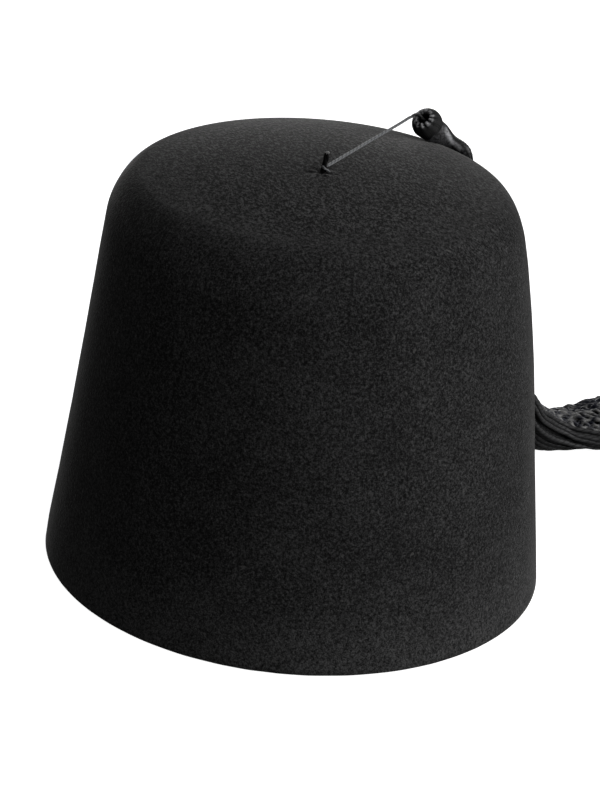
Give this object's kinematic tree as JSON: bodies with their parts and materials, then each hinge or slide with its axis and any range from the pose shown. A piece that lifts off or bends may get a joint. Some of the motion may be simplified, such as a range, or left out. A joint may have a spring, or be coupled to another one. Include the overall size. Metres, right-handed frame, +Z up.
{
  "type": "fez hat",
  "caption": "Brimless felt hat with a tapered oval crown, a low domed top with a short stem, and a long tassel that hangs from a thin cord and a bead over the edge.",
  "frame": {"origin": "middle of the foot of the box round the crown, stem, bead and tassel, without the cord, on the surface the rim rests on", "axes": "+Z up out of the crown's top, -Y towards the hat's front, +X towards the wearer's left; the tassel falls at +X +Y"},
  "size_m": [0.259, 0.2274, 0.1552],
  "materials": {
    "black_felt": "matte",
    "stem_black": "matte",
    "grey_cord": "satin",
    "wound_black_thread": "satin",
    "black_thread": "satin"
  },
  "bodies": {
    "root": {"crown": "black_felt", "stem": "stem_black", "cord": "grey_cord", "bead": "wound_black_thread", "tassel": "black_thread"}
  },
  "joints": []
}
